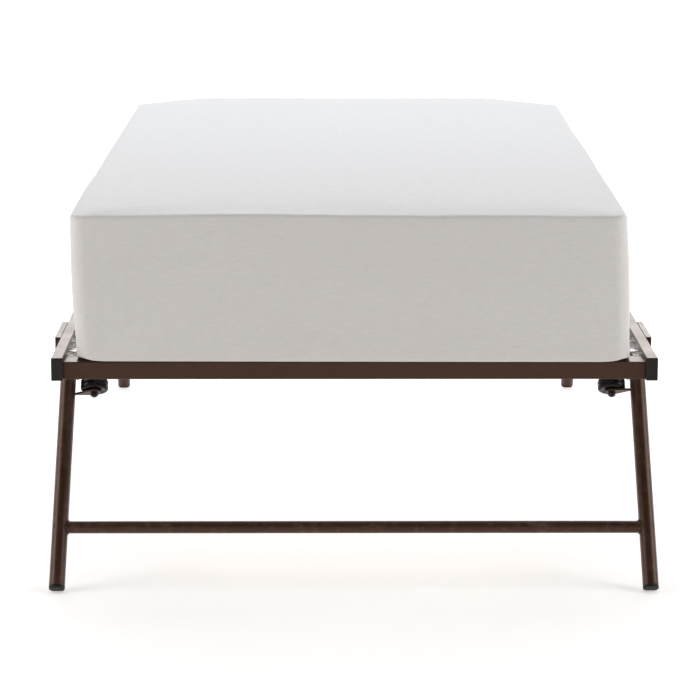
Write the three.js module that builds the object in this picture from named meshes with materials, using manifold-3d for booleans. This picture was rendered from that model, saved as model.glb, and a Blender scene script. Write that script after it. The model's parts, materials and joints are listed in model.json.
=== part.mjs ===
// A folding rollaway bed: a low steel deck frame on two folding leg frames, with a foam mattress.
//
// Units are millimetres. X runs across the bed, Y from the foot end (-Y) to the head end (+Y), and Z up.
// The origin is on the floor under the middle of the bed. The bed stands on its feet, legs unfolded.
// Each leg frame turns about a line through its two pivots, so that it folds flat under the deck and lets
// the bed down onto the four wheels that the leg frames carry.

import * as THREE from 'three';
import { mergeVertices } from 'three/addons/utils/BufferGeometryUtils.js';
import Module from 'manifold-3d';

const wasm = await Module();
wasm.setup();

// ---- Driving dimensions ----

const GAP = 0.3; // clearance left between pieces that touch or are welded together
const BIG = 60; // reach of the cutting blocks past the pieces they trim

// Side rails: rectangular tube on edge, closed by plastic caps
const BED_LENGTH = 1915;
const FRAME_WIDTH = 1058;
const RAIL_TOP = 434;
const RAIL_HEIGHT = 40;
const RAIL_WIDTH = 20;
const RAIL_WALL = 1.6;
const CAP_FLANGE = 3;
const CAP_PLUG = 15;

// End rails and middle cross tubes: rectangular tube laid flat between the side rails
const END_RAIL_TOP = 425;
const END_RAIL_DEPTH = 40;
const END_RAIL_HEIGHT = 31;
const END_RAIL_INSET = 13.5; // from the rail caps' faces to the end rail
const CROSS_TUBE_SIZE = 24;
const CROSS_TUBE_OFFSET = 320; // each side of the bed's middle
const GUSSET_LEG = 38;
const GUSSET_THICKNESS = 3;

// Deck straps: flat steel bands across the frame
const STRAP_COUNT = 10;
const STRAP_WIDTH = 23;
const STRAP_HALF_LENGTH = 501;
const STRAP_TONGUE = 10; // width of the tongue at each end, which reaches the side rail
const STRAP_THICKNESS = 1.6;
const FIRST_STRAP = 120.5; // centre of the first strap, from the rail caps' faces

// Leg frames: two raked tubes, slightly splayed, and a crossbar
const LEG_RAKE = THREE.MathUtils.degToRad(33);
const LEG_RADIUS = 14.3;
const LEG_WALL = 1.5;
const LEG_STUB = 32; // tube above the pivot, which leans on the bracket's stop
const PIVOT_INSET = 274.2; // from the rail caps' faces to the pivots
const PIVOT_HEIGHT = 355;
const PIVOT_HALF_SPAN = 522.2; // middle of the bed to a leg's centre line, at the pivot
const FOOT_HALF_SPAN = 530.5; // and at the floor
const CROSSBAR_RADIUS = 11.1;
const CROSSBAR_WALL = 1.5;
const CROSSBAR_HEIGHT = 102.9;
const GLIDE_THICKNESS = 6;
const GLIDE_PLUG = 15;
const GLIDE_WORN = 3; // depth of the flat that the floor takes off the glide's low edge
const GLIDE_CHAMFER = 1;

// Leg brackets: bent and welded sheet steel, one at each pivot
const INNER_CHEEK_NEAR = 504.2; // faces of the two cheeks, from the middle of the bed
const INNER_CHEEK_FAR = 506.9;
const OUTER_CHEEK_NEAR = 537.4;
const OUTER_CHEEK_FAR = 539.2;
const CHEEK_LOBE = 15; // radius of the cheeks around the pivot
const SHEET = 2;
const HOUSING_START = 199; // ends of the housing beside the rail, from the rail caps' faces
const HOUSING_END = 355;
const HOUSING_DEPTH = 34; // height of the housing's side below the rail's top
const HOUSING_SLOT = 2.5; // slot between the housing's top flange and its end walls
const NECK_START = -60; // ends of the saddle plate, from the pivot
const NECK_END = 50;
const LOBE_START = Math.PI * 0.94; // stretch of a cheek's lobe that is round
const LOBE_END = Math.PI * 1.86;
const STOP_START = 28.5; // lower edge of the stop plate, up the leg, just clear of the folded leg

// Pivot rivets
const RIVET_RADIUS = 5;
const RIVET_HEAD_RADIUS = 9;
const RIVET_HEAD = 2.6;
const RIVET_CROWN = 6.3; // radius of the flat on top of a head

// Wheels, each on a flat arm welded to the leg, turning about an axle parallel to the leg
const WHEEL_RADIUS = 25.3;
const WHEEL_WIDTH = 20;
const WHEEL_HALF_SPAN = 474; // middle of the bed to a wheel's centre
const WHEEL_DROP = 27.4; // pivot to the wheel's centre, down the leg
const WHEEL_SHIFT = 3; // wheel's centre in front of the leg's centre line, towards the bed's end
const WHEEL_SHOULDER = 2.5; // chamfer between the tread and each side
const WHEEL_HUB = 9;
const WHEEL_BOSS = 0.9; // hub stands this far proud of each side of the tread
const AXLE_RADIUS = 4;
const ARM_WIDTH = 25;
const ARM_THICKNESS = 3.5;
const HEX_ACROSS_FLATS = 12;
const BOLT_HEAD = 5.3;
const NUT_HEIGHT = 6;
const BOLT_TAIL = 2; // thread showing past the nut

// Mattress: foam in a fitted cover, lying slightly askew on the deck
const MATTRESS_WIDTH = 965;
const MATTRESS_LENGTH = 1900;
const MATTRESS_HEIGHT = 257;
const MATTRESS_BOTTOM = 425.6;
const MATTRESS_CORNER = 28;
const MATTRESS_SHIFT_X = -1.5;
const MATTRESS_SHIFT_Y = 1.5;
const MATTRESS_TURN = THREE.MathUtils.degToRad(-0.45);

// Fineness of round shapes
const TUBE_SIDES = 32;
const SMALL_SIDES = 20;
const WHEEL_SIDES = 28;
const ARC_STEPS = 8;

// ---- Worked-out dimensions ----

const END_FACE = -BED_LENGTH / 2; // the foot end's cap faces
const RAIL_BOTTOM = RAIL_TOP - RAIL_HEIGHT;
const RAIL_OUTER = FRAME_WIDTH / 2;
const RAIL_INNER = RAIL_OUTER - RAIL_WIDTH;
const PIVOT_Y = END_FACE + PIVOT_INSET;
const LEG_RISE = Math.cos(LEG_RAKE); // height gained per millimetre up the leg
const LEG_LEAN = Math.sin(LEG_RAKE); // distance gained towards the bed's middle
const FOOT_REACH = (PIVOT_HEIGHT - LEG_RADIUS * LEG_LEAN + GLIDE_WORN) / LEG_RISE;
const LEG_SPLAY = Math.atan((FOOT_HALF_SPAN - PIVOT_HALF_SPAN) * LEG_RISE / PIVOT_HEIGHT);
const TUBE_END = FOOT_REACH - GLIDE_THICKNESS - GAP; // pivot to the leg tube's lower end
const CROSSBAR_DROP = (PIVOT_HEIGHT - CROSSBAR_HEIGHT) / LEG_RISE;
const ARM_TOP = -WHEEL_DROP - WHEEL_WIDTH / 2 - WHEEL_BOSS - GAP; // along the leg, from the pivot
const ARM_BOTTOM = ARM_TOP - ARM_THICKNESS;

// ---- Materials ----

function material(color, roughness, metalness) {
  return () => new THREE.MeshStandardMaterial({ color, roughness, metalness });
}

const bronzePaint = material('#5b4a42', 0.42, 0.35);
const zincSteel = material('#a9a49c', 0.4, 0.9);
const blackPlastic = material('#2b2729', 0.5, 0);
const wheelPlastic = material('#1d1a1c', 0.3, 0);
const darkSteel = material('#38322f', 0.4, 0.8);
const coverFabric = material('#e9e8e6', 0.95, 0);

// ---- Shape helpers ----

const ALONG_X = new THREE.Matrix4().makeBasis(
  new THREE.Vector3(0, 1, 0),
  new THREE.Vector3(0, 0, 1),
  new THREE.Vector3(1, 0, 0),
);

/** Turns a closed geometry into a solid that can be cut and joined. */
function toSolid(geometry) {
  const bare = geometry.clone();
  bare.deleteAttribute('normal');
  bare.deleteAttribute('uv');
  const merged = mergeVertices(bare, 1e-3);
  return new wasm.Manifold(new wasm.Mesh({
    numProp: 3,
    vertProperties: new Float32Array(merged.attributes.position.array),
    triVerts: new Uint32Array(merged.index.array),
  }));
}

/** Turns a solid back into a geometry. */
function toGeometry(solid) {
  const { vertProperties, triVerts } = solid.getMesh();
  const geometry = new THREE.BufferGeometry();
  geometry.setAttribute('position', new THREE.BufferAttribute(vertProperties, 3));
  geometry.setIndex(new THREE.BufferAttribute(triVerts, 1));
  return geometry;
}

function join(...geometries) {
  return toGeometry(geometries.map(toSolid).reduce((whole, next) => whole.add(next)));
}

function cut(geometry, ...tools) {
  return toGeometry(tools.map(toSolid).reduce((rest, tool) => rest.subtract(tool), toSolid(geometry)));
}

/** A box between two corners. */
function block(x0, x1, y0, y1, z0, z1) {
  const box = new THREE.BoxGeometry(Math.abs(x1 - x0), y1 - y0, z1 - z0);
  return box.translate((x0 + x1) / 2, (y0 + y1) / 2, (z0 + z1) / 2);
}

/** An outline in the XY plane, raised from z0 to z1. */
function raise(outline, z0, z1) {
  const options = { depth: z1 - z0, bevelEnabled: false, curveSegments: ARC_STEPS };
  return new THREE.ExtrudeGeometry(outline, options).translate(0, 0, z0);
}

/** An outline drawn in Y and Z, stretched between two X positions. */
function stretchAlongX(outline, xa, xb) {
  return raise(outline, 0, Math.abs(xb - xa)).applyMatrix4(ALONG_X).translate(Math.min(xa, xb), 0, 0);
}

/** A round body about the Z axis, from a profile of [radius, z] pairs. */
function turned(profile, sides) {
  const points = profile.map(([radius, z]) => new THREE.Vector2(radius, z));
  return new THREE.LatheGeometry(points, sides).rotateX(Math.PI / 2);
}

function rod(radius, z0, z1, sides) {
  return turned([[0, z0], [radius, z0], [radius, z1], [0, z1]], sides);
}

function pipe(outer, inner, z0, z1, sides) {
  return turned([[inner, z0], [outer, z0], [outer, z1], [inner, z1], [inner, z0]], sides);
}

/** A rectangular outline about the origin, as a solid bar or with a wall. */
function rectangle(width, height, wall = 0) {
  const outline = new THREE.Shape();
  const trace = (path, w, h) => {
    path.moveTo(-w / 2, -h / 2);
    path.lineTo(w / 2, -h / 2);
    path.lineTo(w / 2, h / 2);
    path.lineTo(-w / 2, h / 2);
    path.closePath();
  };
  trace(outline, width, height);
  if (wall > 0) {
    const bore = new THREE.Path();
    trace(bore, width - 2 * wall, height - 2 * wall);
    outline.holes.push(bore);
  }
  return outline;
}

function named(name, geometry, makeMaterial) {
  const mesh = new THREE.Mesh(geometry, makeMaterial());
  mesh.name = name;
  return mesh;
}

// ---- Deck frame ----

function sideRail(name, side) {
  const length = BED_LENGTH - 2 * (CAP_FLANGE + GAP);
  const tube = stretchAlongX(rectangle(RAIL_WIDTH, RAIL_HEIGHT, RAIL_WALL), -length / 2, length / 2);
  const rail = named(name, tube, bronzePaint);
  rail.rotation.z = Math.PI / 2;
  rail.position.set(side * (RAIL_OUTER - RAIL_WIDTH / 2), 0, RAIL_TOP - RAIL_HEIGHT / 2);
  return rail;
}

/** A tube laid flat between the side rails. */
function flatTube(name, depth, height, centreY, top) {
  const halfLength = RAIL_INNER - GAP;
  const tube = stretchAlongX(rectangle(depth, height, RAIL_WALL), -halfLength, halfLength);
  const rail = named(name, tube, bronzePaint);
  rail.position.set(0, centreY, top - height / 2);
  return rail;
}

function railCap(name, side) {
  const plugWidth = RAIL_WIDTH - 2 * (RAIL_WALL + GAP);
  const plugHeight = RAIL_HEIGHT - 2 * (RAIL_WALL + GAP);
  const flange = block(
    -RAIL_WIDTH / 2, RAIL_WIDTH / 2, 0, CAP_FLANGE, -RAIL_HEIGHT / 2, RAIL_HEIGHT / 2,
  );
  const plug = block(
    -plugWidth / 2, plugWidth / 2, CAP_FLANGE / 2, CAP_FLANGE + CAP_PLUG, -plugHeight / 2, plugHeight / 2,
  );
  const cap = named(name, join(flange, plug), blackPlastic);
  cap.position.set(side * (RAIL_OUTER - RAIL_WIDTH / 2), END_FACE, RAIL_TOP - RAIL_HEIGHT / 2);
  return cap;
}

/** A three-cornered plate in the corner of a side rail and an end rail. */
function cornerGusset(name, side) {
  const cornerX = side * (RAIL_INNER - GAP);
  const cornerY = END_FACE + END_RAIL_INSET + END_RAIL_DEPTH + GAP;
  const outline = new THREE.Shape();
  outline.moveTo(cornerX, cornerY);
  outline.lineTo(cornerX, cornerY + GUSSET_LEG);
  outline.lineTo(cornerX - side * GUSSET_LEG, cornerY);
  outline.closePath();
  const top = END_RAIL_TOP - 1;
  return named(name, raise(outline, top - GUSSET_THICKNESS, top), bronzePaint);
}

/** A flat band whose ends narrow to tongues that reach the side rails. */
function deckStrap(name, y) {
  const tip = RAIL_INNER - GAP;
  const half = STRAP_WIDTH / 2;
  const tongue = STRAP_TONGUE / 2;
  const outline = new THREE.Shape();
  outline.moveTo(-STRAP_HALF_LENGTH, -half);
  for (const side of [1, -1]) {
    outline.lineTo(side * STRAP_HALF_LENGTH, -side * half);
    outline.lineTo(side * STRAP_HALF_LENGTH, -side * tongue);
    outline.lineTo(side * tip, -side * tongue);
    outline.lineTo(side * tip, side * tongue);
    outline.lineTo(side * STRAP_HALF_LENGTH, side * tongue);
    outline.lineTo(side * STRAP_HALF_LENGTH, side * half);
  }
  outline.closePath();
  const mesh = named(name, raise(outline, -STRAP_THICKNESS, 0), zincSteel);
  mesh.position.set(0, y, END_RAIL_TOP);
  return mesh;
}

// ---- Leg brackets and pivots ----

/** A cheek's outline in Y and Z, about the pivot: a round lobe that widens to a straight top. */
function cheekOutline(topStart, topEnd, shoulder, top) {
  const stopFace = LEG_RADIUS + GAP + SHEET;
  const lift = STOP_START - SHEET;
  const outline = new THREE.Shape();
  outline.moveTo(topStart, top);
  outline.lineTo(topStart, shoulder);
  outline.absarc(0, 0, CHEEK_LOBE, LOBE_START, LOBE_END, false);
  outline.lineTo(stopFace * LEG_RISE + lift * LEG_LEAN, lift * LEG_RISE - stopFace * LEG_LEAN);
  outline.lineTo(topEnd, shoulder);
  outline.lineTo(topEnd, top);
  outline.closePath();
  return outline;
}

/** The inclined plate that the leg's stub leans on, in Y and Z about the pivot. */
function stopOutline(top) {
  const corner = (along, out) => [
    along * LEG_LEAN + out * LEG_RISE,
    along * LEG_RISE - out * LEG_LEAN,
  ];
  const near = LEG_RADIUS + GAP;
  const far = near + SHEET;
  const outline = new THREE.Shape();
  outline.moveTo(...corner(STOP_START, near));
  outline.lineTo(...corner(STOP_START, far));
  outline.lineTo(...corner((top + far * LEG_LEAN) / LEG_RISE, far));
  outline.lineTo(...corner((top + near * LEG_LEAN) / LEG_RISE, near));
  outline.closePath();
  return outline;
}

/**
 * A leg bracket, about its pivot: an inner and an outer cheek, joined under the rail by a saddle plate and
 * by the stop plate, with a shallow housing outside the rail.
 */
function legBracket(name, side) {
  const saddleTop = RAIL_BOTTOM - GAP - PIVOT_HEIGHT;
  const saddleBottom = saddleTop - SHEET;
  const housingTop = RAIL_TOP - PIVOT_HEIGHT;
  const housingBottom = housingTop - HOUSING_DEPTH;
  const start = HOUSING_START - PIVOT_INSET;
  const end = HOUSING_END - PIVOT_INSET;
  const inward = side * (RAIL_OUTER + GAP);
  const outward = side * OUTER_CHEEK_FAR;
  const inner = side * INNER_CHEEK_NEAR;

  const innerOutline = cheekOutline(NECK_START, NECK_END, saddleBottom, saddleTop);
  const outerOutline = cheekOutline(start, end, housingBottom, housingTop);
  const wallTop = housingTop - SHEET - HOUSING_SLOT;
  const pieces = join(
    stretchAlongX(innerOutline, inner, side * INNER_CHEEK_FAR),
    stretchAlongX(outerOutline, side * OUTER_CHEEK_NEAR, outward),
    block(inner, outward, NECK_START, NECK_END, saddleBottom, saddleTop),
    stretchAlongX(stopOutline(saddleTop - SHEET / 2), inner, outward),
    block(inward, outward, start, end, housingTop - SHEET, housingTop),
    block(inward, outward, start, start + SHEET, housingBottom, wallTop),
    block(inward, outward, end - SHEET, end, housingBottom, wallTop),
  );
  const hole = rod(RIVET_RADIUS + GAP, -BIG, BIG, SMALL_SIDES).rotateY(Math.PI / 2);
  const bracket = named(name, cut(pieces, hole.translate(side * PIVOT_HALF_SPAN, 0, 0)), bronzePaint);
  bracket.position.set(0, PIVOT_Y, PIVOT_HEIGHT);
  return bracket;
}

/** A rivet along X through both cheeks and the leg, with a low domed head at each end. */
function pivotRivet(name, side) {
  const near = INNER_CHEEK_NEAR - GAP;
  const far = OUTER_CHEEK_FAR + GAP;
  const profile = [
    [0, near - RIVET_HEAD],
    [RIVET_CROWN, near - RIVET_HEAD],
    [RIVET_HEAD_RADIUS, near],
    [RIVET_RADIUS, near],
    [RIVET_RADIUS, far],
    [RIVET_HEAD_RADIUS, far],
    [RIVET_CROWN, far + RIVET_HEAD],
    [0, far + RIVET_HEAD],
  ];
  const rivet = named(name, turned(profile, SMALL_SIDES), darkSteel);
  rivet.rotation.y = side * Math.PI / 2;
  rivet.position.set(0, PIVOT_Y, PIVOT_HEIGHT);
  return rivet;
}

// ---- Leg frame: built about the pivot line, with the legs along -Z ----

const legPose = new THREE.Matrix4().makeRotationX(-LEG_RAKE).setPosition(0, PIVOT_Y, PIVOT_HEIGHT);

/** Leans a body that was built along Z into line with one leg. */
function inLegLine(geometry, side) {
  return geometry.rotateY(-side * LEG_SPLAY).translate(side * PIVOT_HALF_SPAN, 0, 0);
}

/** The space that a leg and its clearance take, as a cutting tool. */
function legSpace(side) {
  return inLegLine(rod(LEG_RADIUS + GAP, -FOOT_REACH, LEG_STUB + BIG, TUBE_SIDES), side);
}

function legTube(name, side) {
  const tube = pipe(LEG_RADIUS, LEG_RADIUS - LEG_WALL, -TUBE_END, LEG_STUB, TUBE_SIDES);
  const hole = rod(RIVET_RADIUS + GAP, -BIG, BIG, SMALL_SIDES).rotateY(Math.PI / 2);
  hole.translate(side * PIVOT_HALF_SPAN, 0, 0);
  return named(name, cut(inLegLine(tube, side), hole), bronzePaint);
}

/** A plastic glide: a disc under the tube with a plug inside it, worn flat where it meets the floor. */
function footGlide(name, side) {
  const plugRadius = LEG_RADIUS - LEG_WALL - GAP;
  const seat = -TUBE_END - GAP;
  const profile = [
    [0, -FOOT_REACH],
    [LEG_RADIUS - GLIDE_CHAMFER, -FOOT_REACH],
    [LEG_RADIUS, -FOOT_REACH + GLIDE_CHAMFER],
    [LEG_RADIUS, seat],
    [plugRadius, seat],
    [plugRadius, seat + GLIDE_PLUG],
    [0, seat + GLIDE_PLUG],
  ];
  const underFloor = block(
    -FRAME_WIDTH, FRAME_WIDTH, END_FACE - BIG, PIVOT_Y, -BIG, 0,
  ).applyMatrix4(legPose.clone().invert());
  return named(name, cut(inLegLine(turned(profile, TUBE_SIDES), side), underFloor), blackPlastic);
}

/** A round tube between the legs, its ends cut to sit against them. */
function legCrossbar(name) {
  const bar = pipe(
    CROSSBAR_RADIUS, CROSSBAR_RADIUS - CROSSBAR_WALL, -FOOT_HALF_SPAN, FOOT_HALF_SPAN, SMALL_SIDES,
  ).rotateY(Math.PI / 2).translate(0, 0, -CROSSBAR_DROP);
  return named(name, cut(bar, legSpace(-1), legSpace(1)), bronzePaint);
}

/** The flat arm that carries a wheel, notched round the leg. */
function wheelArm(name, side) {
  const halfWidth = ARM_WIDTH / 2;
  const root = side * (PIVOT_HALF_SPAN - LEG_RADIUS / 2);
  const tip = side * WHEEL_HALF_SPAN;
  const toTip = side > 0 ? Math.PI / 2 : -Math.PI / 2;
  const outline = new THREE.Shape();
  outline.moveTo(root, -side * -halfWidth - WHEEL_SHIFT);
  outline.absarc(tip, -WHEEL_SHIFT, halfWidth, toTip, toTip + Math.PI, false);
  outline.lineTo(root, -side * halfWidth - WHEEL_SHIFT);
  outline.closePath();
  const hole = rod(AXLE_RADIUS + GAP, ARM_BOTTOM - 1, ARM_TOP + 1, SMALL_SIDES);
  const plate = raise(outline, ARM_BOTTOM, ARM_TOP);
  const arm = cut(plate, legSpace(side), hole.translate(tip, -WHEEL_SHIFT, 0));
  return named(name, arm, bronzePaint);
}

function wheel(name, side) {
  const half = WHEEL_WIDTH / 2;
  const bore = AXLE_RADIUS + GAP;
  const profile = [
    [bore, -half - WHEEL_BOSS],
    [WHEEL_HUB, -half - WHEEL_BOSS],
    [WHEEL_HUB, -half],
    [WHEEL_RADIUS - WHEEL_SHOULDER, -half],
    [WHEEL_RADIUS, -half + WHEEL_SHOULDER],
    [WHEEL_RADIUS, half - WHEEL_SHOULDER],
    [WHEEL_RADIUS - WHEEL_SHOULDER, half],
    [WHEEL_HUB, half],
    [WHEEL_HUB, half + WHEEL_BOSS],
    [bore, half + WHEEL_BOSS],
    [bore, -half - WHEEL_BOSS],
  ];
  const mesh = named(name, turned(profile, WHEEL_SIDES), wheelPlastic);
  mesh.position.set(side * WHEEL_HALF_SPAN, -WHEEL_SHIFT, -WHEEL_DROP);
  return mesh;
}

function hexagon() {
  const outline = new THREE.Shape();
  const reach = HEX_ACROSS_FLATS / Math.sqrt(3);
  for (let corner = 0; corner < 6; corner += 1) {
    const angle = corner * Math.PI / 3;
    const place = [reach * Math.cos(angle), reach * Math.sin(angle)];
    if (corner === 0) {
      outline.moveTo(...place);
    } else {
      outline.lineTo(...place);
    }
  }
  outline.closePath();
  return outline;
}

/** The axle: a hex-head bolt down through the wheel and the arm. */
function wheelBolt(name, side) {
  const headBottom = -WHEEL_DROP + WHEEL_WIDTH / 2 + WHEEL_BOSS + GAP;
  const tail = ARM_BOTTOM - GAP - NUT_HEIGHT - BOLT_TAIL;
  const bolt = join(
    raise(hexagon(), headBottom, headBottom + BOLT_HEAD),
    rod(AXLE_RADIUS, tail, headBottom + BOLT_HEAD / 2, SMALL_SIDES),
  );
  const mesh = named(name, bolt, darkSteel);
  mesh.position.set(side * WHEEL_HALF_SPAN, -WHEEL_SHIFT, 0);
  return mesh;
}

function wheelNut(name, side) {
  const outline = hexagon();
  const bore = new THREE.Path();
  bore.absarc(0, 0, AXLE_RADIUS + GAP, 0, 2 * Math.PI, true);
  outline.holes.push(bore);
  const top = ARM_BOTTOM - GAP;
  const mesh = named(name, raise(outline, top - NUT_HEIGHT, top), darkSteel);
  mesh.position.set(side * WHEEL_HALF_SPAN, -WHEEL_SHIFT, 0);
  return mesh;
}

function legFrame(end, sideName) {
  const frame = new THREE.Group();
  frame.applyMatrix4(legPose);
  frame.add(legCrossbar(`leg_crossbar_${end}`));
  for (const side of [-1, 1]) {
    const place = `${end}_${sideName(side)}`;
    frame.add(legTube(`leg_tube_${place}`, side));
    frame.add(footGlide(`foot_glide_${place}`, side));
    frame.add(wheelArm(`wheel_arm_${place}`, side));
    frame.add(wheel(`wheel_${place}`, side));
    frame.add(wheelBolt(`wheel_bolt_${place}`, side));
    frame.add(wheelNut(`wheel_nut_${place}`, side));
  }
  return frame;
}

// ---- Mattress ----

function mattress() {
  const x = MATTRESS_WIDTH / 2 - MATTRESS_CORNER;
  const y = MATTRESS_LENGTH / 2 - MATTRESS_CORNER;
  const outline = new THREE.Shape();
  outline.absarc(x, y, MATTRESS_CORNER, 0, Math.PI / 2, false);
  outline.absarc(-x, y, MATTRESS_CORNER, Math.PI / 2, Math.PI, false);
  outline.absarc(-x, -y, MATTRESS_CORNER, Math.PI, Math.PI * 1.5, false);
  outline.absarc(x, -y, MATTRESS_CORNER, Math.PI * 1.5, Math.PI * 2, false);
  const mesh = named('mattress', raise(outline, 0, MATTRESS_HEIGHT), coverFabric);
  mesh.position.set(MATTRESS_SHIFT_X, MATTRESS_SHIFT_Y, MATTRESS_BOTTOM);
  mesh.rotation.z = MATTRESS_TURN;
  return mesh;
}

// ---- Assembly ----

/** Everything at one end of the bed, built at the foot end. */
function bedEnd(end, sideName) {
  const assembly = new THREE.Group();
  const endRailY = END_FACE + END_RAIL_INSET + END_RAIL_DEPTH / 2;
  assembly.add(flatTube(`end_rail_${end}`, END_RAIL_DEPTH, END_RAIL_HEIGHT, endRailY, END_RAIL_TOP));
  for (const side of [-1, 1]) {
    const place = `${end}_${sideName(side)}`;
    assembly.add(railCap(`rail_cap_${place}`, side));
    assembly.add(cornerGusset(`corner_gusset_${place}`, side));
    assembly.add(legBracket(`leg_bracket_${place}`, side));
    assembly.add(pivotRivet(`pivot_rivet_${place}`, side));
  }
  assembly.add(legFrame(end, sideName));
  return assembly;
}

const group = new THREE.Group();
group.add(sideRail('side_rail_left', -1));
group.add(sideRail('side_rail_right', 1));
for (const [index, side] of [-1, 1].entries()) {
  const top = END_RAIL_TOP - STRAP_THICKNESS - GAP;
  const y = side * CROSS_TUBE_OFFSET;
  group.add(flatTube(`cross_tube_${index + 1}`, CROSS_TUBE_SIZE, CROSS_TUBE_SIZE, y, top));
}

const strapSpan = BED_LENGTH - 2 * FIRST_STRAP;
for (let index = 0; index < STRAP_COUNT; index += 1) {
  const y = END_FACE + FIRST_STRAP + strapSpan * index / (STRAP_COUNT - 1);
  group.add(deckStrap(`deck_strap_${index + 1}`, y));
}

group.add(bedEnd('foot', (side) => (side < 0 ? 'left' : 'right')));
const headEnd = bedEnd('head', (side) => (side < 0 ? 'right' : 'left'));
headEnd.rotation.z = Math.PI;
group.add(headEnd);
group.add(mattress());

export default group;
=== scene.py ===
"""A pop-up rollaway bed: bronze steel deck on two folding leg frames, with a thick foam mattress.

Blender 4.5. Metres, +Z up, the foot end towards -Y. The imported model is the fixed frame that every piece
here is placed by and rides on.
"""

import json
import math

import bmesh
import bpy
from mathutils import Euler, Matrix, Vector, noise


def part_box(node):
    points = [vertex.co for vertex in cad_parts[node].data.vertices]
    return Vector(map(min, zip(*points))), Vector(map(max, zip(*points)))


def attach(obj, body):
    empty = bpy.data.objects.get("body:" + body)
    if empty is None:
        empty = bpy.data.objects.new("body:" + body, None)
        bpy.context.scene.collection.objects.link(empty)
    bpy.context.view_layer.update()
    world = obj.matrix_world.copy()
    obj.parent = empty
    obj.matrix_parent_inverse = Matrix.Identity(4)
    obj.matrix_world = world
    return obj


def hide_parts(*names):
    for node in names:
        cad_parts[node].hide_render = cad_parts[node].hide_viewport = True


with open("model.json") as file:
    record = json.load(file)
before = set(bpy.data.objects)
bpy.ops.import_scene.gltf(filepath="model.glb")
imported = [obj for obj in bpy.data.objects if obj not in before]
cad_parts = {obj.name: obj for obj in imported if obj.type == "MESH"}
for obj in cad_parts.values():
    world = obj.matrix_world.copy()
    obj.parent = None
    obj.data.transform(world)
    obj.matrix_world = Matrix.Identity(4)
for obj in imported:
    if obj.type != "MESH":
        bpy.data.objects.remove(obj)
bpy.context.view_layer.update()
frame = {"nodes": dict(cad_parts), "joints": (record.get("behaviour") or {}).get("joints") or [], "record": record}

MM = 0.001

# ---- Driving dimensions (metres) ----

ENDS = {"foot": -1, "head": 1}
SIDES = {"left": -1, "right": 1}

# Sheet and tube
TUBE_WALL = 1.5 * MM
TUBE_SIDES = 64
TUBE_EDGE = 0.3 * MM
RING_DEPTH = 1.2 * MM  # how far a splayed tube's end ring reaches along the axle direction
RAIL_CORNER = 1.6 * MM
CAP_EDGE_SHARE = 0.45  # rounding of a cap's other edges, as a share of its long ones
SHEET_EDGE = 0.45 * MM
MERGE_DISTANCE = 0.02 * MM
FLAT_ANGLE = math.radians(0.5)  # faces that meet at less are one face
BEVEL_ANGLE = math.radians(34)  # edges that turn more are rounded
SMOOTH_ANGLE = math.radians(38)  # edges that turn more are shaded sharp

# Weld beads
BEAD_RADIUS = 1.7 * MM
BEAD_SEAT = 0.51 * MM  # how far a bead's middle stands off the metal
BEAD_RIPPLE = 0.13  # share of the radius
BEAD_RIPPLES_PER_TURN = 22
BEAD_WANDER = 0.12
BEAD_WANDERS_PER_TURN = 5.3
BEAD_STEPS = 132

# Deck springing
HOOK_PITCH = 64 * MM
FIRST_HOOK = 77 * MM  # from the foot end's cap face
HOOK_WIDTH = 10 * MM
HOOK_THICKNESS = 1.0 * MM
HOOK_ROOT = 7 * MM  # below the deck's top, where the shank meets the rail
HOOK_SHOULDER = (1.5 * MM, 1.8 * MM)  # in from the rail, and below the deck's top
HOOK_CURL = 270  # degrees
HOOK_STEPS = 9
EDGE_WIRE_RADIUS = 1.5 * MM
EDGE_WIRE_INSET = 13 * MM  # from the side rail's inner face
CROSS_WIRE_RADIUS = 1.3 * MM
CROSS_WIRE_COUNT = 9
CROSS_WIRE_PITCH = 108 * MM
SPRING_OFFSET = 27 * MM  # from a cross wire to the end spring beside it
SPRING_RADIUS = 4.6 * MM
SPRING_WIRE_RADIUS = 0.8 * MM
SPRING_TURNS = 13
SPRING_TURN_STEPS = 12
SPRING_BODY = 30 * MM
STRAP_COUNT = 10
STRAP_THICKNESS = 1.6 * MM
STRAP_GRIP = 4 * MM  # how far a spring's hook reaches under its strap
LOOP_RADIUS = 0.9 * MM
LOOP_CORNER = 1.6 * MM
LOOP_PROUD = 0.72 * MM  # how far a loop stands over the strap that it crosses
WIRE_GAP = 0.3 * MM

# Leg frames
FIT_GAP = 0.3 * MM
RIVET_HOLE = 5.3 * MM
DRILL_REACH = 31.8 * MM
DRILL_SIDES = 32
RIVET_SHANK = 5 * MM
RIVET_HEAD = 2.6 * MM
RIVET_SIDES = 40
DOME_STEPS = 6
GLIDE_ROUND = 1.4 * MM
GLIDE_BLUNT = 0.3  # where the glide's rounded edge passes, as a share of its radius
FLOOR_BOX = 0.2
AXLE_HOLE = 4.3 * MM
WHEEL_SIDES = 72
WHEEL_HUB = 9 * MM
WHEEL_HUB_EDGE = 0.4 * MM
WHEEL_BOSS = 0.9 * MM
# A raised ring and then the rounded shoulder, in steps in from the tread and down from the rim (mm)
WHEEL_SHOULDER = ((6.5, 0), (5.6, -0.25), (4.2, 0), (1.6, 0.7), (0.5, 2.0), (0.1, 3.8), (0, 6.0))
PARTING_HALF_WIDTH = 0.25 * MM
PARTING_DEPTH = 0.15 * MM
BAR_SPARE = 20 * MM  # extra length at each end of the crossbar before its saddles are cut
SADDLE_CUT = (-0.05, 0.5)  # how far the cut runs along a leg, from the leg's lower end

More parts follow.
